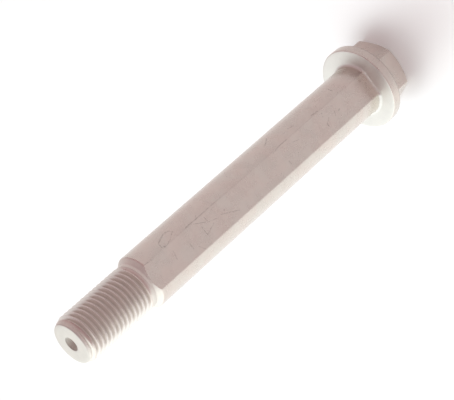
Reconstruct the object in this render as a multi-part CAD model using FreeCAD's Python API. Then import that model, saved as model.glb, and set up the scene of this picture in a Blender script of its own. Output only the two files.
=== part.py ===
"""Cam bolt with a flanged hexagon head and one flat milled along its shank.

The bolt is one solid piece of steel. It stands on its head: the origin is the centre
of the head's end face, +Z runs along the bolt's axis to the threaded tip, and +X is
the way the shank's flat faces.
"""
import math
import os

import FreeCAD
import Part

# Driving dimensions: lengths in millimetres, angles in degrees

# Hexagon head
HEX_ACROSS_FLATS = 18.7
HEX_HEIGHT = 7.7
HEX_CORNER_RADIUS = 0.4
HEX_CHAMFER_DIAMETER = 17.7
HEX_CHAMFER_ANGLE = 30.0
HEX_TURN = -8.0

# Flange
FLANGE_DIAMETER = 25.8
FLANGE_THICKNESS = 3.1
FLANGE_EDGE_RADIUS = 0.35

# Shank, from the flange to the edge of the shoulder above the thread
SHANK_DIAMETER = 16.0
SHANK_LENGTH = 94.3
UNDERHEAD_FILLET = 0.9
SHANK_EDGE_RADIUS = 0.25

# Shoulder and the plain neck that the thread runs out into
SHOULDER_ANGLE = 45.0
NECK_DIAMETER = 13.5
NECK_LENGTH = 1.85
NECK_FILLET = 0.5

# Thread, as the cylinder of its major diameter, M14
THREAD_DIAMETER = 13.9
THREAD_LENGTH = 22.8
TIP_CHAMFER_LENGTH = 2.4
TIP_FACE_DIAMETER = 11.9
TIP_EDGE_RADIUS = 0.15

# Centre hole in the tip, a countersink over a drilled pilot
CENTRE_HOLE_DIAMETER = 4.2
CENTRE_HOLE_ANGLE = 60.0
PILOT_DIAMETER = 1.6
PILOT_DEPTH = 4.4
DRILL_POINT_ANGLE = 118.0

# Flat along the shank, milled from the thread's end towards the flange
FLAT_DEPTH = 1.0
FLAT_STOP_GAP = 0.5
FLAT_STOP_RADIUS = 0.35

# Radii and heights that follow from the driving dimensions

FLANGE_RADIUS = FLANGE_DIAMETER / 2
SHANK_RADIUS = SHANK_DIAMETER / 2
NECK_RADIUS = NECK_DIAMETER / 2
THREAD_RADIUS = THREAD_DIAMETER / 2
TIP_FACE_RADIUS = TIP_FACE_DIAMETER / 2
CENTRE_HOLE_RADIUS = CENTRE_HOLE_DIAMETER / 2
PILOT_RADIUS = PILOT_DIAMETER / 2
FLAT_DISTANCE = SHANK_RADIUS - FLAT_DEPTH

SHOULDER_LENGTH = (SHANK_RADIUS - NECK_RADIUS) / math.tan(math.radians(SHOULDER_ANGLE))

Z_FLANGE_BACK = HEX_HEIGHT
Z_FLANGE_FACE = Z_FLANGE_BACK + FLANGE_THICKNESS
Z_SHANK_END = Z_FLANGE_FACE + SHANK_LENGTH
Z_NECK_START = Z_SHANK_END + SHOULDER_LENGTH
Z_THREAD_START = Z_NECK_START + NECK_LENGTH
Z_TIP = Z_THREAD_START + THREAD_LENGTH

UP = FreeCAD.Vector(0, 0, 1)
ORIGIN = FreeCAD.Vector(0, 0, 0)


def in_profile(radius, height):
    """A point of the half section, which lies in the XZ plane."""
    return FreeCAD.Vector(radius, 0, height)


def rounded_face(corners):
    """A face from (radius, height, fillet) corners, each fillet a tangent arc.

    A fillet is limited to what its two walls leave room for.
    """
    points = [in_profile(radius, height) for radius, height, _ in corners]
    count = len(corners)
    arcs = {}
    ends = []
    for index, (_, _, fillet) in enumerate(corners):
        corner = points[index]
        back = points[index - 1] - corner
        ahead = points[(index + 1) % count] - corner
        if fillet == 0:
            ends.append((corner, corner))
            continue
        half_angle = back.getAngle(ahead) / 2
        reach = min(fillet / math.tan(half_angle), 0.49 * back.Length, 0.49 * ahead.Length)
        start = corner + back.normalize() * reach
        end = corner + ahead.normalize() * reach
        inward = (start + end) * 0.5 - corner
        radius = reach * math.tan(half_angle)
        to_middle = reach / math.cos(half_angle) - radius
        middle = corner + inward.normalize() * to_middle
        arcs[index] = Part.Arc(start, middle, end).toShape()
        ends.append((start, end))
    outline = []
    for index in range(count):
        if index in arcs:
            outline.append(arcs[index])
        leave = ends[index][1]
        arrive = ends[(index + 1) % count][0]
        if leave.distanceToPoint(arrive) > 1e-6:
            outline.append(Part.LineSegment(leave, arrive).toShape())
    return Part.Face(Part.Wire(outline))


def revolved(corners):
    """The full turn of a half section about the bolt's axis."""
    return rounded_face(corners).revolve(ORIGIN, UP, 360)


def turned_body():
    """Flange, shank, shoulder, neck, thread cylinder and tip, turned in one profile."""
    return revolved([
        (0, Z_FLANGE_BACK, 0),
        (FLANGE_RADIUS, Z_FLANGE_BACK, FLANGE_EDGE_RADIUS),
        (FLANGE_RADIUS, Z_FLANGE_FACE, FLANGE_EDGE_RADIUS),
        (SHANK_RADIUS, Z_FLANGE_FACE, UNDERHEAD_FILLET),
        (SHANK_RADIUS, Z_SHANK_END, SHANK_EDGE_RADIUS),
        (NECK_RADIUS, Z_NECK_START, NECK_FILLET),
        (NECK_RADIUS, Z_THREAD_START, 0),
        (THREAD_RADIUS, Z_THREAD_START + THREAD_RADIUS - NECK_RADIUS, 0),
        (THREAD_RADIUS, Z_TIP - TIP_CHAMFER_LENGTH, 0),
        (TIP_FACE_RADIUS, Z_TIP, TIP_EDGE_RADIUS),
        (0, Z_TIP, 0),
    ])


def hexagon_head():
    """The hexagon, its corners rounded and its end chamfered by a cone."""
    corner_radius = HEX_ACROSS_FLATS / 2 / math.cos(math.radians(30))
    corners = []
    for index in range(6):
        angle = math.radians(HEX_TURN + 30 + 60 * index)
        x = corner_radius * math.cos(angle)
        y = corner_radius * math.sin(angle)
        corners.append(FreeCAD.Vector(x, y, 0))
    outline = Part.makePolygon(corners + corners[:1])
    prism = Part.Face(outline).extrude(UP * (Z_FLANGE_BACK + FLANGE_THICKNESS / 2))
    upright = [edge for edge in prism.Edges if abs(edge.tangentAt(edge.FirstParameter).z) > 0.9]
    prism = prism.makeFillet(HEX_CORNER_RADIUS, upright)

    chamfer_radius = HEX_CHAMFER_DIAMETER / 2
    rise = (corner_radius - chamfer_radius) * math.tan(math.radians(HEX_CHAMFER_ANGLE))
    envelope = revolved([
        (0, 0, 0),
        (chamfer_radius, 0, 0),
        (corner_radius, rise, 0),
        (corner_radius, Z_FLANGE_FACE, 0),
        (0, Z_FLANGE_FACE, 0),
    ])
    return prism.common(envelope)


def centre_hole():
    """The countersunk centre hole that is cut into the tip."""
    half_angle = math.radians(CENTRE_HOLE_ANGLE / 2)
    countersink_depth = (CENTRE_HOLE_RADIUS - PILOT_RADIUS) / math.tan(half_angle)
    point_depth = PILOT_RADIUS / math.tan(math.radians(DRILL_POINT_ANGLE / 2))
    return revolved([
        (0, Z_TIP - PILOT_DEPTH - point_depth, 0),
        (PILOT_RADIUS, Z_TIP - PILOT_DEPTH, 0),
        (PILOT_RADIUS, Z_TIP - countersink_depth, 0),
        (CENTRE_HOLE_RADIUS, Z_TIP, 0),
        (CENTRE_HOLE_RADIUS, Z_TIP + CENTRE_HOLE_RADIUS, 0),
        (0, Z_TIP + CENTRE_HOLE_RADIUS, 0),
    ])


def flat_cutter():
    """What the milling cutter takes away: it stops short of the flange, with a rounded end."""
    stop = Z_FLANGE_FACE + FLAT_STOP_GAP
    outside = FLANGE_RADIUS + SHANK_RADIUS
    section = rounded_face([
        (FLAT_DISTANCE, stop, FLAT_STOP_RADIUS),
        (outside, stop, 0),
        (outside, Z_THREAD_START, 0),
        (FLAT_DISTANCE, Z_THREAD_START, 0),
    ])
    section.translate(FreeCAD.Vector(0, -SHANK_DIAMETER, 0))
    return section.extrude(FreeCAD.Vector(0, 2 * SHANK_DIAMETER, 0))


def eccentric_bolt():
    """The whole bolt as one solid."""
    bolt = turned_body().fuse(hexagon_head())
    bolt = bolt.cut(flat_cutter()).cut(centre_hole())
    return bolt.removeSplitter()


def main():
    os.makedirs("parts", exist_ok=True)
    bolt = eccentric_bolt().Solids[0]
    bolt.exportStep("parts/eccentric_bolt.step")
    box = bolt.BoundBox
    print("solids 1, valid", bolt.isValid(), "volume", round(bolt.Volume, 1), "mm3")
    print("box", round(box.XLength, 2), round(box.YLength, 2), round(box.ZLength, 2))


main()
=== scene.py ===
"""Looks of the cam bolt: one closed satin steel mesh with its wound thread, on a white table.

The bolt stands on its head at the origin, its axis along +Z and its flat facing +X.
Lengths below are in millimetres, unless a name says otherwise. MM turns them to metres.
"""
import math

import bmesh
import bpy
import numpy as np
from mathutils import Matrix, Vector


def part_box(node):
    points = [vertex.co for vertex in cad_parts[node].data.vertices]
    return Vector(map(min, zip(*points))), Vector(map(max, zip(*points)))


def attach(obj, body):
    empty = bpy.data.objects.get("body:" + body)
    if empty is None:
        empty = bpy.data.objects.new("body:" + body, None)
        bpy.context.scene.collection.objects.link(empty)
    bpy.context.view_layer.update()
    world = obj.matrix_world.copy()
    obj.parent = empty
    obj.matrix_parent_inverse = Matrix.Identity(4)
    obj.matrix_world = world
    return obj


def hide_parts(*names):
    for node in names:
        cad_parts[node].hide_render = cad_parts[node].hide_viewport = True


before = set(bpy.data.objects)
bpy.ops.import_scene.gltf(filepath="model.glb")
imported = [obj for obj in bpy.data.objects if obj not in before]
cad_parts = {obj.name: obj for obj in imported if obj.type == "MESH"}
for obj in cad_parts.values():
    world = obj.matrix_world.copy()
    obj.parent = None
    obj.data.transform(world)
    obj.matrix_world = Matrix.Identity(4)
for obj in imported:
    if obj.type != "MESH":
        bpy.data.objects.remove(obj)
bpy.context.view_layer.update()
MM = 0.001

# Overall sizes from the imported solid
low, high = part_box("eccentric_bolt")
Z_TIP = high[2] / MM
FLANGE_RADIUS = high[0] / MM

# Head
HEX_ACROSS_FLATS = 18.7
HEX_HEIGHT = 7.7
HEX_TURN = math.radians(-8)
HEX_CORNER_RADIUS = 0.4
HEX_CHAMFER_RADIUS = 8.85
HEX_CHAMFER_SLOPE = math.tan(math.radians(30))
HEX_ROOT_RADIUS = 0.4
FLANGE_THICKNESS = 3.1
FLANGE_EDGE = 0.35

# Shank and its flat
SHANK_RADIUS = 8.0
SHANK_LENGTH = 94.3
UNDERHEAD_FILLET = 0.9
SHANK_EDGE = 0.8
FLAT_DISTANCE = 7.0
FLAT_STOP_RADIUS = 0.35

# Shoulder and neck: the heights and the cone's rows below hold for a slope of 45 degrees
SHOULDER_ANGLE = 45
NECK_RADIUS = 6.75
NECK_FILLET = 0.5

# Thread, M14 x 1.5. One point of its crest fixes the helix. Its depth runs out towards the neck,
# where the crest falls to the neck's radius, and starts between two distances from the tip
THREAD_RADIUS = 6.95
THREAD_PITCH = 1.5
THREAD_DEPTH = 0.9
FLANK_ANGLE = math.radians(30)
CREST_FLAT = 0.19
CREST_ROUNDING = 0.09
ROOT_ROUNDING = 0.18
CREST_HEIGHT = 118.95
CREST_AZIMUTH = math.radians(8.7)
RUNOUT_LENGTH = 2.2
RUNOUT_CREST_SHARE = 0.6
START_FROM_TIP = (0.3, 0.95)

# Tip
TIP_FACE_RADIUS = 5.95
TIP_CHAMFER_LENGTH = 2.4
TIP_EDGE = 0.15
HOLE_RADIUS = 2.1
HOLE_EDGE = 0.08
PILOT_RADIUS = 0.8
PILOT_DEPTH = 4.4
COUNTERSINK_SLOPE = math.tan(math.radians(30))
DRILL_POINT_SLOPE = math.tan(math.radians(59))

# Heights that follow
Z_FLANGE_BACK = HEX_HEIGHT
Z_FLANGE_FACE = Z_FLANGE_BACK + FLANGE_THICKNESS
Z_SHANK_END = Z_FLANGE_FACE + SHANK_LENGTH
Z_NECK_START = Z_SHANK_END + SHANK_RADIUS - NECK_RADIUS
Z_THREAD_LOW = Z_NECK_START + 0.3
Z_THREAD_HIGH = Z_TIP - 0.25
CHAMFER_SLOPE = (THREAD_RADIUS - TIP_FACE_RADIUS) / TIP_CHAMFER_LENGTH

# Columns round the bolt, and steps of the rows along it
COLUMNS = 288
ARC_STEPS = 5
CONE_STEPS = 13
SHANK_STEPS = 11
UNDERHEAD_STEPS = 12
# Rows in a turn of the thread, and turns wound past its ends, which are then cut level
ROWS_A_TURN = 14
SPARE_TURNS = 2.0
# Plain length between the shank's rows and its edge at the top, and its fillet at the bottom
SHANK_MARGINS = (2.0, 0.5)
# Rings on the flange's face and the tip's face, counted from a first radius outward, rings on
# the head's end face, and the ring in the drill point as a share of the pilot's radius
FACE_RINGS = 4
FLANGE_FACE_START = SHANK_RADIUS + 1.2
TIP_FACE_START = HOLE_RADIUS + 0.8
END_FACE_RADII = (6.0, 3.0, 1.0)
DRILL_POINT_RING = 0.3
# Rows that round the outer edge of the head's chamfer: how far inward and how far above the
# cone. Then rows on the cone, as shares of the way out from its inner circle
HEX_CHAMFER_EDGE = [(0.0, 0.19), (0.016, 0.07), (0.07, -0.024)]
HEX_CHAMFER_SHARES = (0.75, 0.5, 0.25)
# Share of a hexagon corner's arc that is rounded
HEX_CORNER_SHARE = 0.55
# Cosine below which a column faces away from the flat and isn't cut by it
FACING_AWAY = 0.3
# Gaps that are closed when the parts are joined, and the angle that stays a crisp edge
THREAD_WELD = 0.004
BOLT_WELD = 0.003
SLIVER = 0.001
CRISP_EDGE = math.radians(28)

# The photograph's camera: the point that it looks at, and where it stands as seen from there
CAMERA_TARGET = (-0.177, 1.158, 69.018)
CAMERA_AZIMUTH = 8.7
CAMERA_ELEVATION = 31.588
CAMERA_ROLL = math.radians(131.557)
CAMERA_DISTANCE = 416.66
FOCAL_LENGTH = 122.455
SENSOR_WIDTH = 36.0

# Colours of the steel: a cooler and a warmer patch of the forged surface, the flange's face,
# the thread, and the shoulder and tip
STEEL_COOL = (0.685, 0.64, 0.585, 1)
STEEL_WARM = (0.695, 0.625, 0.57, 1)
STEEL_FACED = (0.75, 0.73, 0.69, 1)
STEEL_THREAD = (0.75, 0.69, 0.645, 1)
STEEL_TURNED = (0.80, 0.765, 0.71, 1)

# Stretches of the axis with a finish of their own, or with painted shade or painted light: where
# each begins, is full, fades and ends. The crease is the corner between hexagon and flange, painted
# with shade; faced is the flange's face; and the stretch by the head is the end of the flat by the
# flange, painted lighter against the dark reflection of the flange in it. The stretch in the hole
# paints shade on the hole's wall. Three of them run on past the tip
PAST_TIP = (Z_TIP + 1.0, Z_TIP + 2.0)
STRETCHES = {
    "crease_shade": (Z_FLANGE_BACK - 0.4, Z_FLANGE_BACK - 0.1, Z_FLANGE_BACK + 0.15, Z_FLANGE_BACK + 0.5),
    "faced": (Z_FLANGE_FACE - 0.12, Z_FLANGE_FACE - 0.02, Z_FLANGE_FACE + 0.3, Z_FLANGE_FACE + 0.9),
    "painted_light_by_head": (Z_FLANGE_FACE + 0.1, Z_FLANGE_FACE + 0.4, Z_FLANGE_FACE + 1.0, Z_FLANGE_FACE + 5.5),
    "shoulder": (Z_SHANK_END + 0.05, Z_SHANK_END + 0.3, Z_NECK_START + 0.8, Z_NECK_START + 1.6),
    "in_thread": (Z_NECK_START + 1.5, Z_NECK_START + 3.0, Z_TIP - 2.4, Z_TIP - 1.6),
    "hole_wall_rough_and_shade": (Z_NECK_START + 1.5, Z_NECK_START + 3.0, *PAST_TIP),
    "tip_turned": (Z_TIP - 1.5, Z_TIP - 0.8, *PAST_TIP),
    "tip_face": (Z_TIP - 0.4, Z_TIP - 0.1, *PAST_TIP),
}
# Radii between which the thread's root ends, and radii between which the hole's wall ends
ROOT_RADII = (6.1, 6.65)
HOLE_WALL_RADII = (HOLE_RADIUS, HOLE_RADIUS + 0.1)
# Distances along +X between which the round side turns into the flat
FLAT_BORDER = (FLAT_DISTANCE - 0.06, FLAT_DISTANCE - 0.01)

# Shares of its brightness that the steel loses, and roughness that it gains, by finish and mark.
# The crease, the thread's roots and the hole's wall lose brightness as painted shade, and the end
# of the flat by the flange gains it, by a negative share, as painted light
DARKER = {
    "marks": 0.3, "hairlines": 0.03, "flat_edge": 0.09, "in_thread": 0.06, "root": 0.06,
    "painted_light_by_head": -0.26, "hole_wall_rough_and_shade": 0.1, "tip_face": 0.14, "crease_shade": 0.4,
}
ROUGHER = {"marks": 0.15, "faced": 0.27, "hole_wall_rough_and_shade": 0.27, "turned": 0.3, "in_thread": 0.06}
ROUGHNESS = (0.26, 0.30)
CLOUD_TONE = 0.03
GRAIN_TONE = 0.02

# Noises by what they drive: fineness and detail, and the range of values that is used
CLOUD_NOISE, CLOUD_RANGE = (0.35, 3.0), (0.3, 0.7)
GRAIN_NOISE, GRAIN_RANGE = (5.0, 2.0), (0.25, 0.75)
TINT_NOISE, TINT_RANGE = (0.16, 2.0), (0.35, 0.65)
BREAK_NOISE, BREAK_RANGE = (2.4, 2.0), (0.35, 0.6)
EDGE_NOISE, EDGE_RANGE = (0.5, 3.0), (0.35, 0.65)
HAIR_NOISE, HAIR_RANGE = (1.0, 1.0), (0.69, 0.76)
WAVER_NOISE = (1.3, 2.0)

# The satin table, and how much plain white the camera and the steel see in it
TABLE_HALF_METRES = 3.0
TABLE_COLOR = (0.96, 0.955, 0.95, 1)
TABLE_METAL = 0.78
TABLE_ROUGHNESS = 0.54
TABLE_WHITE = 0.25
WHITE = (1.0, 0.93, 0.93, 1)

# The room: its colour near the horizon and overhead, how high one turns into the other, and
# its panels by azimuth and elevation of their middle, the cosines where they begin and where
# they are full, and colour. The first is faint and stands high on the +Y side, the second is
# bright and stands behind the bolt, and the third is the brightest, on the -Y side
ROOM_LOW = (0.56, 0.39, 0.40, 1)
ROOM_HIGH = (0.41, 0.29, 0.31, 1)
ROOM_RISE = (0.15, 0.6)
PANELS = [
    (98, 46, 0.82, 0.97, (0.58, 0.45, 0.46, 1)),
    (-163, 28, 0.44, 0.86, (1.06, 1.07, 1.08, 1)),
    (-112, 30, 0.38, 0.8, (1.62, 1.70, 1.70, 1)),
]

# Handling marks on the side that shows, read from the photograph in its own pixels
PHOTO_WIDTH = 454
PHOTO_HEIGHT = 400
# Scratches: the reach of the edge in millimetres, and the places that the line runs through
SCRATCHES = {
    "loop, left": (0.16, [(173.9, 232.2), (167.8, 231.1), (163.3, 233.9), (159.8, 240.0)]),
    "loop, bottom": (0.2, [(159.8, 240.0), (158.7, 244.4), (161.7, 247.4)]),
    "loop, tail": (0.16, [(161.7, 247.4), (166.7, 245.6)]),
    "loop, right": (0.14, [(171.9, 231.6), (170.9, 237.5), (167.5, 244.4)]),
    "spur on the long line": (0.14, [(195.5, 215.4), (195.7, 219.9)]),
    "cross line, near end": (0.13, [(193.3, 224.1), (207.8, 221.7)]),
    "cross line, middle": (0.12, [(209.0, 221.5), (218.0, 218.0)]),
    "cross line, far end": (0.12, [(220.5, 214.5), (239.5, 210.0)]),
    "triangle, top": (0.14, [(203.9, 217.2), (208.3, 221.7)]),
    "triangle, left": (0.16, [(201.7, 227.2), (208.3, 235.6)]),
    "triangle, right": (0.13, [(207.5, 234.5), (214.0, 223.0)]),
    "below the triangle": (0.13, [(190.0, 243.9), (193.9, 248.9)]),
    "low on the flat": (0.12, [(173.0, 251.0), (177.5, 259.5)]),
    "by the flat's right edge": (0.13, [(199.0, 246.5), (205.5, 248.5)]),
    "by the shoulder": (0.12, [(144.4, 265.0), (153.3, 258.9)]),
    "nick by the head": (0.24, [(328.3, 89.1), (331.7, 91.1)]),
    "nick on the flat's edge": (0.22, [(311.1, 115.6), (317.8, 111.1)]),
    "hook": (0.2, [(328.9, 117.8), (327.2, 123.9)]),
    "hook's end": (0.22, [(327.2, 123.9), (328.9, 125.8)]),
    "above the hook": (0.2, [(339.4, 108.9), (338.3, 111.1)]),
    "beside the hook": (0.13, [(334.4, 111.1), (335.6, 115.6)]),
    "round side, upper": (0.16, [(293.3, 125.6), (287.8, 128.9)]),
    "round side, middle": (0.15, [(266.6, 138.4), (265.1, 145.5)]),
    "flat's edge, upper": (0.17, [(286.7, 139.4), (278.9, 146.1)]),
    "flat's edge, lower": (0.14, [(278.9, 146.1), (273.3, 153.3)]),
    "flat, right": (0.18, [(288.9, 161.1), (291.7, 163.9)]),
    "flat, left": (0.12, [(292.8, 142.2), (298.9, 139.4)]),
}
# Specks: the size in millimetres, and the place in the photograph
SPECKS = {
    "above the cross line": (0.2, (211.7, 209.4)),
    "right of the cross line": (0.22, (224.4, 210.0)),
    "round side, first": (0.18, (226.7, 176.7)),
    "round side, second": (0.16, (223.3, 181.0)),
    "by the flat's right edge": (0.16, (203.9, 248.3)),
    "near the head": (0.18, (337.8, 92.8)),
    "by the nick, first": (0.18, (321.7, 113.3)),
    "by the nick, second": (0.16, (322.8, 116.7)),
    "round side, middle": (0.15, (248.0, 153.3)),
    "on the loop": (0.2, (164.9, 247.0)),
}
# The long line beside the flat's edge, in millimetres: how far across the bolt it lies, and
# the lowest and highest point and the reach of the edge of its three stretches
LONG_LINE_ACROSS = 2.9
LONG_LINE = [(86.0, 88.8, 0.15), (81.0, 86.0, 0.11), (74.5, 80.5, 0.08)]
# How far the scratches wander, the share of a scratch's reach that is solid, where a speck
# fades as shares of its size, and how faint and how full the marks are where they break up
WANDER = 0.35
STROKE_CORE = 0.25
SPECK_FADE = (0.4, 1.3)
BREAK_SHARES = (0.25, 1.0)

# Worn line along the flat's +Y edge: where it fades to either side, how far it reaches down the
# round side, and how faint and how full it is
EDGE_FADE = (0.03, 0.22)
EDGE_REACH = 0.4
EDGE_SHARES = (0.1, 0.8)

# Hairlines: the lean in radians and the fineness of the two sets, the tilt that they share, and
# how quickly they vary across and along
HAIRLINE_SETS = [(0.5, 1.0), (-0.85, 1.3)]
HAIRLINE_TILT = 0.3
HAIRLINE_ACROSS = 2.2
HAIRLINE_ALONG = 0.12

# The steel's bump: its strength and height, and the share of the grain beside the marks
BUMP_STRENGTH = 0.5
BUMP_HEIGHT = 0.004
GRAIN_BUMP = 0.5

azimuths = np.arange(COLUMNS) * 2 * math.pi / COLUMNS


def ring(radius, height):
    """One row of the bolt's surface: a radius and a height for each column."""
    return [np.full(COLUMNS, 1.0) * radius, np.full(COLUMNS, 1.0) * height]


def arc(centre, start, end, radius):
    """Points of a fillet in the half section, by angle in degrees about its centre."""
    angles = np.radians(np.linspace(start, end, ARC_STEPS + 1))
    return [(centre[0] + radius * math.cos(a), centre[1] + radius * math.sin(a)) for a in angles]


def with_flat(radius, height, flat=FLAT_DISTANCE):
    """A row of the shank, cut by the flat that faces +X."""
    cut = flat / np.maximum(np.cos(azimuths), FACING_AWAY)
    return [np.minimum(radius, cut), np.full(COLUMNS, 1.0) * height]


def shank_rows():
    """From the thread's run-out down to the flange's face: neck, shoulder, shank, flat, fillet."""
    slant = math.radians(SHOULDER_ANGLE)
    neck_reach = NECK_FILLET * math.tan(slant / 2)
    edge_reach = SHANK_EDGE * math.tan(slant / 2)
    rows = [ring(NECK_RADIUS, Z_THREAD_LOW)]
    centre = (NECK_RADIUS + NECK_FILLET, Z_NECK_START + neck_reach)
    rows += [with_flat(r, z) for r, z in arc(centre, 180, 180 + SHOULDER_ANGLE, NECK_FILLET)]
    cone_high = Z_NECK_START - neck_reach * math.sin(slant)
    cone_low = Z_SHANK_END + edge_reach * math.sin(slant)
    for height in np.linspace(cone_high, cone_low, CONE_STEPS + 1)[1:-1]:
        rows.append(with_flat(NECK_RADIUS + Z_NECK_START - height, height))
    centre = (SHANK_RADIUS - SHANK_EDGE, Z_SHANK_END - edge_reach)
    rows += [with_flat(r, z) for r, z in arc(centre, SHOULDER_ANGLE, 0, SHANK_EDGE)]
    plain_high = Z_SHANK_END - SHANK_MARGINS[0]
    plain_low = Z_FLANGE_FACE + UNDERHEAD_FILLET + SHANK_MARGINS[1]
    for height in np.linspace(plain_high, plain_low, SHANK_STEPS + 1):
        rows.append(with_flat(SHANK_RADIUS, height))
    for angle in np.radians(np.linspace(0, 90, UNDERHEAD_STEPS + 1)):
        radius = SHANK_RADIUS + UNDERHEAD_FILLET * (1 - math.cos(angle))
        rise = UNDERHEAD_FILLET * (1 - math.sin(angle))
        below = max(0.0, FLAT_STOP_RADIUS - rise)
        flat = FLAT_DISTANCE + FLAT_STOP_RADIUS - math.sqrt(FLAT_STOP_RADIUS**2 - below**2)
        rows.append(with_flat(radius, Z_FLANGE_FACE + rise, flat))
    return rows


def hexagon():
    """Radius of the hexagon in each column, its corners rounded."""
    half = HEX_ACROSS_FLATS / 2
    half_side = math.pi / 6
    from_face = (azimuths - HEX_TURN + half_side) % (2 * half_side) - half_side
    sharp = half / np.cos(from_face)
    reach = (half - HEX_CORNER_RADIUS) / math.cos(half_side)
    from_corner = half_side - np.abs(from_face)
    side = reach * np.sin(from_corner)
    rounded = reach * np.cos(from_corner) + np.sqrt(np.maximum(HEX_CORNER_RADIUS**2 - side**2, 0))
    on_corner = np.abs(from_corner) < math.asin(HEX_CORNER_RADIUS / reach) * HEX_CORNER_SHARE
    return np.where(on_corner, np.minimum(sharp, rounded), sharp)


def head_rows():
    """From the flange's face over its rim and back to the hexagon and the head's end face."""
    edge = FLANGE_EDGE
    rim = FLANGE_RADIUS - edge
    rows = [ring(r, Z_FLANGE_FACE) for r in np.linspace(FLANGE_FACE_START, rim, FACE_RINGS)[:-1]]
    rows += [ring(r, z) for r, z in arc((rim, Z_FLANGE_FACE - edge), 90, 0, edge)]
    rows += [ring(r, z) for r, z in arc((rim, Z_FLANGE_BACK + edge), 0, -90, edge)]
    across = hexagon()
    flat_row = np.full(COLUMNS, 1.0)
    for angle in np.radians(np.linspace(90, 0, ARC_STEPS + 1)):
        out = HEX_ROOT_RADIUS * (1 - math.cos(angle))
        down = HEX_ROOT_RADIUS * (1 - math.sin(angle))
        rows.append([across + out, flat_row * (Z_FLANGE_BACK - down)])
    chamfer = (across - HEX_CHAMFER_RADIUS) * HEX_CHAMFER_SLOPE
    for inward, rise in HEX_CHAMFER_EDGE:
        rows.append([across - inward, chamfer + rise])
    last = HEX_CHAMFER_EDGE[-1][0]
    for share in HEX_CHAMFER_SHARES:
        radius = HEX_CHAMFER_RADIUS + (across - HEX_CHAMFER_RADIUS) * share
        radius = np.minimum(radius, across - last)
        rows.append([radius, (radius - HEX_CHAMFER_RADIUS) * HEX_CHAMFER_SLOPE])
    rows += [ring(r, 0) for r in (HEX_CHAMFER_RADIUS, *END_FACE_RADII)]
    return rows


def tip_rows():
    """From the bottom of the centre hole up over the tip's face to where the thread begins."""
    pilot_low = Z_TIP - PILOT_DEPTH
    countersink = (HOLE_RADIUS - PILOT_RADIUS) / COUNTERSINK_SLOPE
    point_depth = PILOT_RADIUS * (1 - DRILL_POINT_RING) / DRILL_POINT_SLOPE
    rows = [ring(PILOT_RADIUS * DRILL_POINT_RING, pilot_low - point_depth)]
    rows.append(ring(PILOT_RADIUS, pilot_low))
    rows.append(ring(PILOT_RADIUS, Z_TIP - countersink))

    # The rounded edge of the hole, the tip's face and the rounded edge of its chamfer
    rows.append(ring(HOLE_RADIUS - HOLE_EDGE * 0.5, Z_TIP - HOLE_EDGE))
    rows.append(ring(HOLE_RADIUS, Z_TIP - HOLE_EDGE * 0.3))
    rows.append(ring(HOLE_RADIUS + HOLE_EDGE, Z_TIP))
    for radius in np.linspace(TIP_FACE_START, TIP_FACE_RADIUS - TIP_EDGE, FACE_RINGS):
        rows.append(ring(radius, Z_TIP))
    rows.append(ring(TIP_FACE_RADIUS - TIP_EDGE * 0.25, Z_TIP - TIP_EDGE * 0.25))
    rows.append(ring(TIP_FACE_RADIUS + TIP_EDGE * CHAMFER_SLOPE, Z_TIP - TIP_EDGE))
    rows.append(ring(TIP_FACE_RADIUS + (Z_TIP - Z_THREAD_HIGH) * CHAMFER_SLOPE, Z_THREAD_HIGH))
    return rows


def linked(name, data):
    """A new object of the scene."""
    thing = bpy.data.objects.new(name, data)
    bpy.context.scene.collection.objects.link(thing)
    return thing


def surface(name, rows, first_pole=None, last_pole=None):
    """A mesh object from rows of points, closed by a pole at either end where one is given."""
    points = []
    for radius, height in rows:
        x = radius * np.cos(azimuths) * MM
        y = radius * np.sin(azimuths) * MM
        points += list(zip(x, y, height * MM))
    columns = [(column, (column + 1) % COLUMNS) for column in range(COLUMNS)]
    faces = []
    for row in range(len(rows) - 1):
        here, below = row * COLUMNS, (row + 1) * COLUMNS
        faces += [(here + one, below + one, below + other, here + other) for one, other in columns]
    if first_pole is not None:
        points.append((0, 0, first_pole * MM))
        pole = len(points) - 1
        faces += [(pole, one, other) for one, other in columns]
    if last_pole is not None:
        points.append((0, 0, last_pole * MM))
        pole = len(points) - 1
        start = (len(rows) - 1) * COLUMNS
        faces += [(pole, start + other, start + one) for one, other in columns]
    mesh = bpy.data.meshes.new(name)
    mesh.from_pydata(points, [], faces)
    return linked(name, mesh)


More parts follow.
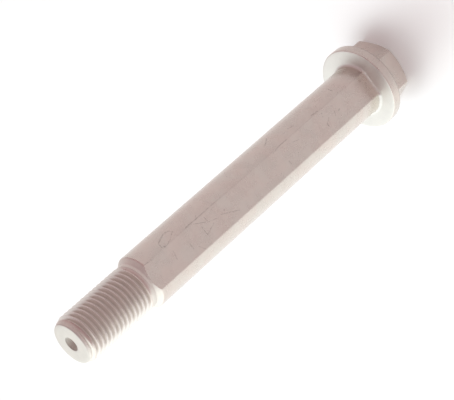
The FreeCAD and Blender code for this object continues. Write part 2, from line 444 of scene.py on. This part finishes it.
class Nodes:
    """Short calls that add nodes to one tree and join them."""

    def __init__(self, tree):
        self.tree = tree

    def add(self, kind, **settings):
        """A new node, with its settings."""
        node = self.tree.nodes.new(kind)
        for key, value in settings.items():
            setattr(node, key, value)
        return node

    def feed(self, socket, value):
        """Link an output to a socket, or set the socket to a plain value."""
        if isinstance(value, bpy.types.NodeSocket):
            self.tree.links.new(value, socket)
        else:
            socket.default_value = value

    def math(self, operation, *values):
        """Math on outputs or numbers."""
        node = self.add("ShaderNodeMath", operation=operation)
        for socket, value in zip(node.inputs, values):
            self.feed(socket, value)
        return node.outputs[0]

    def vector(self, operation, *values):
        """Vector Math: its vector result, or its number for a dot product, length or distance."""
        node = self.add("ShaderNodeVectorMath", operation=operation)
        if operation == "SCALE":
            self.feed(node.inputs[0], values[0])
            self.feed(node.inputs["Scale"], values[1])
            return node.outputs["Vector"]
        for socket, value in zip(node.inputs, values):
            self.feed(socket, value)
        number = operation in ("DOT_PRODUCT", "DISTANCE", "LENGTH")
        return node.outputs["Value" if number else "Vector"]

    def total(self, value, shares, values):
        """A value plus the named shares of other values."""
        for name, share in shares.items():
            value = self.math("ADD", value, self.math("MULTIPLY", values[name], share))
        return value

    def noise(self, place, scale, detail):
        """A noise's value at a place."""
        node = self.add("ShaderNodeTexNoise")
        self.feed(node.inputs["Vector"], place)
        node.inputs["Scale"].default_value = scale
        node.inputs["Detail"].default_value = detail
        return node.outputs[0]

    def spread(self, value, size):
        """A small shift across and along from one noise value."""
        shift = self.math("MULTIPLY", self.math("SUBTRACT", value, 0.5), size)
        node = self.add("ShaderNodeCombineXYZ")
        self.feed(node.inputs["X"], shift)
        self.feed(node.inputs["Y"], shift)
        return node.outputs[0]

    def mix(self, share, first, second):
        """Mix two colours."""
        node = self.add("ShaderNodeMix", data_type="RGBA")
        self.feed(node.inputs["Factor"], share)
        sockets = [socket for socket in node.inputs if socket.type == "RGBA"]
        self.feed(sockets[0], first)
        self.feed(sockets[1], second)
        return [socket for socket in node.outputs if socket.type == "RGBA"][0]

    def ramp(self, value, low_in, high_in, low_out, high_out, smooth=True):
        """Map Range, smooth at its ends and clamped."""
        style = "SMOOTHSTEP" if smooth else "LINEAR"
        node = self.add("ShaderNodeMapRange", interpolation_type=style)
        for socket, item in zip(node.inputs, (value, low_in, high_in, low_out, high_out)):
            self.feed(socket, item)
        return node.outputs[0]

    def rising(self, value, low, high):
        """0 up to low, 1 from high."""
        return self.ramp(value, low, high, 0.0, 1.0)

    def falling(self, value, low, high):
        """1 up to low, 0 from high."""
        return self.ramp(value, low, high, 1.0, 0.0)

    def stretch(self, value, begin, full, fade, end):
        """1 from full to fade, and 0 before begin and after end."""
        rise = self.rising(value, begin, full)
        return self.math("MULTIPLY", rise, self.falling(value, fade, end))


def add_inputs(tree, kind, names):
    """Inputs of one kind on a node group."""
    for name in names:
        tree.interface.new_socket(name, in_out="INPUT", socket_type="NodeSocket" + kind)


def thread_tree():
    """Geometry nodes that wind the thread: a grid whose rows follow the helix."""
    tree = bpy.data.node_groups.new("wound_thread", "GeometryNodeTree")
    sizes = {
        "Major radius": THREAD_RADIUS, "Pitch": THREAD_PITCH, "Depth": THREAD_DEPTH,
        "Crest flat": CREST_FLAT,
        "Crest height": CREST_HEIGHT - THREAD_PITCH * CREST_AZIMUTH / (2 * math.pi),
        "Low end": Z_THREAD_LOW, "High end": Z_THREAD_HIGH, "Neck radius": NECK_RADIUS,
        "Run-out": RUNOUT_LENGTH, "Tip": Z_TIP, "Tip radius": TIP_FACE_RADIUS,
        "Chamfer slope": CHAMFER_SLOPE,
    }
    tree.interface.new_socket("Geometry", in_out="OUTPUT", socket_type="NodeSocketGeometry")
    add_inputs(tree, "Float", sizes)
    add_inputs(tree, "Int", ("Columns", "Rows a turn"))
    add_inputs(tree, "Material", ("Material",))
    sizes["Columns"] = COLUMNS
    sizes["Rows a turn"] = ROWS_A_TURN
    n = Nodes(tree)
    given = n.add("NodeGroupInput").outputs
    out = n.add("NodeGroupOutput")

    span = n.math("SUBTRACT", given["High end"], given["Low end"])
    turns = n.math("ADD", n.math("DIVIDE", span, given["Pitch"]), SPARE_TURNS)
    steps = n.math("CEIL", n.math("MULTIPLY", turns, given["Rows a turn"]))
    grid = n.add("GeometryNodeMeshGrid")
    grid.inputs["Size X"].default_value = 1.0
    grid.inputs["Size Y"].default_value = 1.0
    n.feed(grid.inputs["Vertices X"], n.math("ADD", given["Columns"], 1.0))
    n.feed(grid.inputs["Vertices Y"], n.math("ADD", steps, 1.0))

    place = n.add("ShaderNodeSeparateXYZ")
    n.feed(place.inputs[0], n.add("GeometryNodeInputPosition").outputs[0])
    turn = n.math("ADD", place.outputs["X"], 0.5)
    row = n.math("ROUND", n.math("MULTIPLY", n.math("ADD", place.outputs["Y"], 0.5), steps))
    lead = n.math("SUBTRACT", n.math("ADD", n.math("DIVIDE", row, given["Rows a turn"]), turn), 1.0)
    below_crest = n.math("SUBTRACT", given["Low end"], given["Crest height"])
    first = n.math("FLOOR", n.math("DIVIDE", below_crest, given["Pitch"]))
    along = n.math("MULTIPLY", n.math("ADD", lead, first), given["Pitch"])
    raw = n.math("ADD", given["Crest height"], along)
    height = n.math("MAXIMUM", given["Low end"], n.math("MINIMUM", raw, given["High end"]))

    phase = n.math("FRACT", n.math("ADD", n.math("DIVIDE", row, given["Rows a turn"]), 0.5))
    from_crest = n.math("ABSOLUTE", n.math("SUBTRACT", phase, 0.5))
    off_crest = n.math("MULTIPLY", from_crest, given["Pitch"])
    beyond = n.math("SUBTRACT", off_crest, n.math("MULTIPLY", given["Crest flat"], 0.5))
    fall = n.math("MULTIPLY", beyond, 1.0 / math.tan(FLANK_ANGLE))

    runs = n.rising(height, given["Low end"], n.math("ADD", given["Low end"], given["Run-out"]))
    to_tip = n.math("SUBTRACT", given["Tip"], height)
    starts = n.rising(to_tip, *START_FROM_TIP)
    depth = n.math("MULTIPLY", given["Depth"], n.math("MULTIPLY", runs, starts))
    crest = n.ramp(runs, 0.0, RUNOUT_CREST_SHARE, given["Neck radius"], given["Major radius"],
                   smooth=False)
    flank = n.math("SUBTRACT", crest, fall)
    root = n.math("SUBTRACT", crest, depth)
    groove = n.math("SMOOTH_MAX", flank, root, ROOT_ROUNDING)
    topped = n.math("SMOOTH_MIN", groove, crest, CREST_ROUNDING)
    cone = n.math("ADD", given["Tip radius"], n.math("MULTIPLY", to_tip, given["Chamfer slope"]))
    radius = n.math("MINIMUM", topped, cone)
    ends = (("LESS_THAN", "Low end", given["Neck radius"]), ("GREATER_THAN", "High end", cone))
    for test, end, plain in ends:
        past = n.math(test, raw, given[end])
        within = n.math("SUBTRACT", 1.0, past)
        radius = n.math("ADD", n.math("MULTIPLY", radius, within), n.math("MULTIPLY", plain, past))

    azimuth = n.math("MULTIPLY", turn, 2 * math.pi)
    point = n.add("ShaderNodeCombineXYZ")
    for axis, wave in (("X", "COSINE"), ("Y", "SINE")):
        out_from_axis = n.math("MULTIPLY", radius, n.math(wave, azimuth))
        n.feed(point.inputs[axis], n.math("MULTIPLY", out_from_axis, MM))
    n.feed(point.inputs["Z"], n.math("MULTIPLY", height, MM))
    wound = n.add("GeometryNodeSetPosition")
    n.feed(wound.inputs["Geometry"], grid.outputs["Mesh"])
    n.feed(wound.inputs["Position"], point.outputs[0])
    welded = n.add("GeometryNodeMergeByDistance")
    n.feed(welded.inputs["Geometry"], wound.outputs["Geometry"])
    welded.inputs["Distance"].default_value = THREAD_WELD * MM
    real = n.add("GeometryNodeRealizeInstances")
    n.feed(real.inputs["Geometry"], welded.outputs["Geometry"])
    dressed = n.add("GeometryNodeSetMaterial")
    n.feed(dressed.inputs["Geometry"], real.outputs["Geometry"])
    n.feed(dressed.inputs["Material"], given["Material"])
    n.feed(out.inputs["Geometry"], dressed.outputs["Geometry"])
    return tree, sizes


def wound_thread(finish):
    """The thread as a plain mesh object, made by its node tree."""
    tree, sizes = thread_tree()
    carrier = linked("thread_carrier", bpy.data.meshes.new("thread_carrier"))
    modifier = carrier.modifiers.new("wound_thread", "NODES")
    modifier.node_group = tree
    sizes["Material"] = finish
    for item in tree.interface.items_tree:
        if item.in_out == "INPUT":
            modifier[item.identifier] = sizes[item.name]
    depsgraph = bpy.context.evaluated_depsgraph_get()
    mesh = bpy.data.meshes.new_from_object(carrier.evaluated_get(depsgraph))
    bpy.data.objects.remove(carrier)
    return linked("thread", mesh)


def welded_bolt(parts, finish):
    """One closed mesh from the parts, with crisp edges kept and everything else smooth."""
    bm = bmesh.new()
    for part in parts:
        bm.from_mesh(part.data)
        bpy.data.objects.remove(part)
    bmesh.ops.remove_doubles(bm, verts=bm.verts, dist=BOLT_WELD * MM)
    bmesh.ops.dissolve_degenerate(bm, edges=bm.edges, dist=SLIVER * MM)
    bmesh.ops.recalc_face_normals(bm, faces=bm.faces)
    mesh = bpy.data.meshes.new("bolt")
    bm.to_mesh(mesh)
    bm.free()
    mesh.materials.clear()
    mesh.materials.append(finish)
    mesh.polygons.foreach_set("use_smooth", [True] * len(mesh.polygons))
    mesh.polygons.foreach_set("material_index", [0] * len(mesh.polygons))
    mesh.set_sharp_from_angle(angle=CRISP_EDGE)
    return linked("bolt", mesh)


def heading(azimuth, elevation):
    """Unit vector at an azimuth from +X and an elevation from the table, both in degrees."""
    a, e = math.radians(azimuth), math.radians(elevation)
    return Vector((math.cos(a) * math.cos(e), math.sin(a) * math.cos(e), math.sin(e)))


def camera_pose():
    """The photograph's view: from the flat's side and above, rolled so the bolt lies aslant."""
    target = Vector(CAMERA_TARGET) * MM
    away = heading(CAMERA_AZIMUTH, CAMERA_ELEVATION)
    level = away.to_track_quat("Z", "Y").to_matrix().to_4x4()
    stand = Matrix.Translation(target + away * (CAMERA_DISTANCE * MM))
    return stand @ level @ Matrix.Rotation(-CAMERA_ROLL, 4, "Z")


def on_shank(x, y):
    """Where a place in the photograph lies on the shank, across and along the bolt."""
    pose = camera_pose()
    eye = pose.translation / MM
    pixel = SENSOR_WIDTH / PHOTO_WIDTH
    right = (x - PHOTO_WIDTH / 2) * pixel
    up = (PHOTO_HEIGHT / 2 - y) * pixel
    ray = pose.to_3x3() @ Vector((right, up, -FOCAL_LENGTH))
    point = eye + ray * (FLAT_DISTANCE - eye.x) / ray.x
    if point.xy.length > SHANK_RADIUS:
        # Past the flat's edges, so on the round side: the nearer crossing of ray and cylinder
        square = ray.xy.length_squared
        half_slope = eye.xy.dot(ray.xy) / square
        rest = (eye.xy.length_squared - SHANK_RADIUS**2) / square
        point = eye - ray * (half_slope + math.sqrt(half_slope**2 - rest))
    return Vector((point.dot(heading(CAMERA_AZIMUTH + 90, 0)), point.z, 0))


def strokes():
    """The straight strokes of all scratches: two ends across and along the bolt, and a width."""
    found = []
    for width, places in SCRATCHES.values():
        ends = [on_shank(x, y) for x, y in places]
        found += [(start, end, width) for start, end in zip(ends, ends[1:])]
    for low, high, width in LONG_LINE:
        start = Vector((LONG_LINE_ACROSS, low, 0))
        end = Vector((LONG_LINE_ACROSS, high, 0))
        found.append((start, end, width))
    return found


def stroke_group():
    """A node group: how much of a scratch covers a point, 1 in its middle and 0 away from it."""
    tree = bpy.data.node_groups.new("scratch_stroke", "ShaderNodeTree")
    add_inputs(tree, "Vector", ("Point", "Middle", "Direction"))
    add_inputs(tree, "Float", ("Half length", "Width"))
    tree.interface.new_socket("Cover", in_out="OUTPUT", socket_type="NodeSocketFloat")
    n = Nodes(tree)
    given = n.add("NodeGroupInput").outputs
    out = n.add("NodeGroupOutput")
    away = n.vector("SUBTRACT", given["Point"], given["Middle"])
    along = n.vector("DOT_PRODUCT", away, given["Direction"])
    far = n.math("SUBTRACT", n.math("ABSOLUTE", along), given["Half length"])
    beyond = n.math("MAXIMUM", far, 0.0)
    length = n.vector("DOT_PRODUCT", away, away)
    squared = n.math("MAXIMUM", n.math("SUBTRACT", length, n.math("MULTIPLY", along, along)), 0.0)
    gap = n.math("SQRT", n.math("ADD", squared, n.math("MULTIPLY", beyond, beyond)))
    core = n.math("MULTIPLY", given["Width"], STROKE_CORE)
    n.feed(out.inputs["Cover"], n.falling(gap, core, given["Width"]))
    return tree


def finishes(n, point, part):
    """Where the steel's finish changes, and where shade or light is painted on it: a mask from 0 to
    1 by name.
    """
    masks = {name: n.stretch(part["Z"], *stretch) for name, stretch in STRETCHES.items()}
    radius = n.vector("LENGTH", n.vector("MULTIPLY", point, (1, 1, 0)))
    off_flat = n.falling(part["X"], *FLAT_BORDER)
    on_flat = n.math("SUBTRACT", 1.0, off_flat)
    # Painted shade in the thread's roots
    masks["root"] = n.math("MULTIPLY", masks["in_thread"], n.falling(radius, *ROOT_RADII))
    # Painted shade on the hole's wall, which is also made rougher
    masks["hole_wall_rough_and_shade"] = n.math("MULTIPLY", masks["hole_wall_rough_and_shade"], n.falling(radius, *HOLE_WALL_RADII))
    # Painted light: the end of the flat by the flange is made paler against the flange's dark
    # reflection
    masks["painted_light_by_head"] = n.math("MULTIPLY", masks["painted_light_by_head"], on_flat)
    shoulder = n.math("MULTIPLY", masks["shoulder"], off_flat)
    masks["turned"] = n.math("MAXIMUM", shoulder, masks["tip_turned"])
    return masks


def handling_marks(n, point, height):
    """Scratches and specks on the side that shows, in a plane across and along the bolt."""
    front = heading(CAMERA_AZIMUTH, 0)
    side = heading(CAMERA_AZIMUTH + 90, 0)
    spot = n.add("ShaderNodeCombineXYZ")
    n.feed(spot.inputs["X"], n.vector("DOT_PRODUCT", point, side))
    n.feed(spot.inputs["Y"], height)
    bent = n.vector("ADD", spot.outputs[0], n.spread(n.noise(point, *WAVER_NOISE), WANDER))
    group = stroke_group()
    marks = 0.0
    for start, end, width in strokes():
        stroke = n.add("ShaderNodeGroup", node_tree=group)
        n.feed(stroke.inputs["Point"], bent)
        stroke.inputs["Middle"].default_value = (start + end) / 2
        stroke.inputs["Direction"].default_value = (end - start).normalized()
        stroke.inputs["Half length"].default_value = (end - start).length / 2
        stroke.inputs["Width"].default_value = width
        marks = n.math("MAXIMUM", marks, stroke.outputs[0])
    for size, (x, y) in SPECKS.values():
        gap = n.vector("DISTANCE", spot.outputs[0], on_shank(x, y))
        marks = n.math("MAXIMUM", marks, n.falling(gap, *[size * share for share in SPECK_FADE]))
    broken = n.ramp(n.noise(point, *BREAK_NOISE), *BREAK_RANGE, *BREAK_SHARES)
    facing = n.rising(n.vector("DOT_PRODUCT", point, front), 0.0, 1.0)
    return n.math("MULTIPLY", n.math("MULTIPLY", marks, broken), facing)


def hairlines(n, point):
    """Faint hairlines in two directions, all round."""
    hairs = 0.0
    for lean, fineness in HAIRLINE_SETS:
        lay = n.add("ShaderNodeMapping")
        n.feed(lay.inputs["Vector"], point)
        across = HAIRLINE_ACROSS * fineness
        lay.inputs["Rotation"].default_value = (lean, HAIRLINE_TILT, lean)
        lay.inputs["Scale"].default_value = (across, across, HAIRLINE_ALONG * fineness)
        line = n.rising(n.noise(lay.outputs[0], *HAIR_NOISE), *HAIR_RANGE)
        hairs = n.math("MAXIMUM", hairs, line)
    return hairs


def flat_edge(n, point, part):
    """The worn line along the flat's +Y edge."""
    edge_across = math.sqrt(SHANK_RADIUS**2 - FLAT_DISTANCE**2)
    off_edge = n.math("ABSOLUTE", n.math("SUBTRACT", part["Y"], edge_across))
    edge = n.falling(off_edge, *EDGE_FADE)
    edge = n.math("MULTIPLY", edge, n.rising(part["X"], FLAT_DISTANCE - EDGE_REACH, FLAT_DISTANCE))
    wear = n.ramp(n.noise(point, *EDGE_NOISE), *EDGE_RANGE, *EDGE_SHARES)
    return n.math("MULTIPLY", edge, wear)


def steel():
    """Satin phosphated steel: cloudy tone, fine grain, turned faces, handling marks, painted shade
    and light.
    """
    material = bpy.data.materials.new("bolt_steel")
    material.use_nodes = True
    n = Nodes(material.node_tree)
    shader = material.node_tree.nodes["Principled BSDF"]
    coords = n.add("ShaderNodeTexCoord").outputs["Object"]
    point = n.vector("MULTIPLY", coords, (1 / MM, 1 / MM, 1 / MM))
    axes = n.add("ShaderNodeSeparateXYZ")
    n.feed(axes.inputs[0], point)
    part = axes.outputs
    cloud = n.noise(point, *CLOUD_NOISE)
    grain = n.noise(point, *GRAIN_NOISE)
    tint = n.noise(point, *TINT_NOISE)
    masks = finishes(n, point, part)
    masks["marks"] = handling_marks(n, point, part["Z"])
    masks["hairlines"] = hairlines(n, point)
    masks["flat_edge"] = flat_edge(n, point, part)

    # Brightness: cloudy tone and fine grain, less what the finish, the marks and the painted shade
    # take away, and plus the painted light by the head
    clouded = n.ramp(cloud, *CLOUD_RANGE, -CLOUD_TONE, CLOUD_TONE)
    grained = n.ramp(grain, *GRAIN_RANGE, -GRAIN_TONE, GRAIN_TONE)
    tone = n.math("ADD", clouded, grained)
    dark = n.total(0.0, DARKER, masks)
    share = n.math("SUBTRACT", n.math("ADD", 1.0, tone), dark)
    metal = n.mix(n.rising(tint, *TINT_RANGE), STEEL_COOL, STEEL_WARM)
    paler = (("faced", STEEL_FACED), ("in_thread", STEEL_THREAD), ("turned", STEEL_TURNED))
    for name, color in paler:
        metal = n.mix(masks[name], metal, color)
    n.feed(shader.inputs["Base Color"], n.vector("SCALE", metal, share))
    shader.inputs["Metallic"].default_value = 1.0
    rough = n.total(n.ramp(cloud, *CLOUD_RANGE, *ROUGHNESS), ROUGHER, masks)
    n.feed(shader.inputs["Roughness"], rough)
    bump = n.add("ShaderNodeBump")
    relief = n.math("SUBTRACT", n.math("MULTIPLY", grain, GRAIN_BUMP), masks["marks"])
    n.feed(bump.inputs["Height"], relief)
    bump.inputs["Strength"].default_value = BUMP_STRENGTH
    bump.inputs["Distance"].default_value = BUMP_HEIGHT * MM
    n.feed(shader.inputs["Normal"], bump.outputs[0])
    return material


def camera():
    """The photograph's camera."""
    data = bpy.data.cameras.new("camera")
    data.lens = FOCAL_LENGTH
    data.sensor_width = SENSOR_WIDTH
    eye = linked("camera", data)
    eye.matrix_world = camera_pose()
    bpy.context.scene.camera = eye


def table():
    """A satin white table: it shows the bright room to the camera and the dim side to the bolt."""
    half = TABLE_HALF_METRES
    corners = [(-half, -half, 0), (half, -half, 0), (half, half, 0), (-half, half, 0)]
    mesh = bpy.data.meshes.new("table")
    mesh.from_pydata(corners, [], [(0, 1, 2, 3)])
    top = linked("table", mesh)
    material = bpy.data.materials.new("satin_white")
    material.use_nodes = True
    n = Nodes(material.node_tree)
    satin = material.node_tree.nodes["Principled BSDF"]
    satin.inputs["Base Color"].default_value = TABLE_COLOR
    satin.inputs["Metallic"].default_value = TABLE_METAL
    satin.inputs["Roughness"].default_value = TABLE_ROUGHNESS
    satin.inputs["Specular IOR Level"].default_value = 0.0
    white = n.add("ShaderNodeEmission")
    white.inputs["Color"].default_value = WHITE
    path = n.add("ShaderNodeLightPath").outputs
    seen = n.math("MAXIMUM", path["Is Glossy Ray"], path["Is Transmission Ray"])
    seen = n.math("MAXIMUM", path["Is Camera Ray"], seen)
    blend = n.add("ShaderNodeMixShader")
    n.feed(blend.inputs[0], n.math("MULTIPLY", seen, TABLE_WHITE))
    n.feed(blend.inputs[1], satin.outputs[0])
    n.feed(blend.inputs[2], white.outputs[0])
    n.feed(material.node_tree.nodes["Material Output"].inputs["Surface"], blend.outputs[0])
    mesh.materials.append(material)


def room():
    """A soft room as the world: warm and dim on the camera's side, with its panels round it."""
    world = bpy.data.worlds.new("room")
    world.use_nodes = True
    n = Nodes(world.node_tree)
    ray = n.add("ShaderNodeTexCoord").outputs["Generated"]
    rise = n.vector("DOT_PRODUCT", ray, (0, 0, 1))
    color = n.mix(n.rising(rise, *ROOM_RISE), ROOM_LOW, ROOM_HIGH)
    for azimuth, elevation, begin, full, bright in PANELS:
        towards = n.vector("DOT_PRODUCT", ray, heading(azimuth, elevation))
        color = n.mix(n.rising(towards, begin, full), color, bright)
    n.feed(world.node_tree.nodes["Background"].inputs["Color"], color)
    bpy.context.scene.world = world


finish = steel()
tip = surface("tip", tip_rows(), first_pole=Z_TIP - PILOT_DEPTH - PILOT_RADIUS / DRILL_POINT_SLOPE)
body = surface("body", shank_rows() + head_rows(), last_pole=0)
bolt = welded_bolt([tip, wound_thread(finish), body], finish)
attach(bolt, "root")
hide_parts("eccentric_bolt")
camera()
table()
room()
bpy.context.scene.view_settings.view_transform = "Standard"
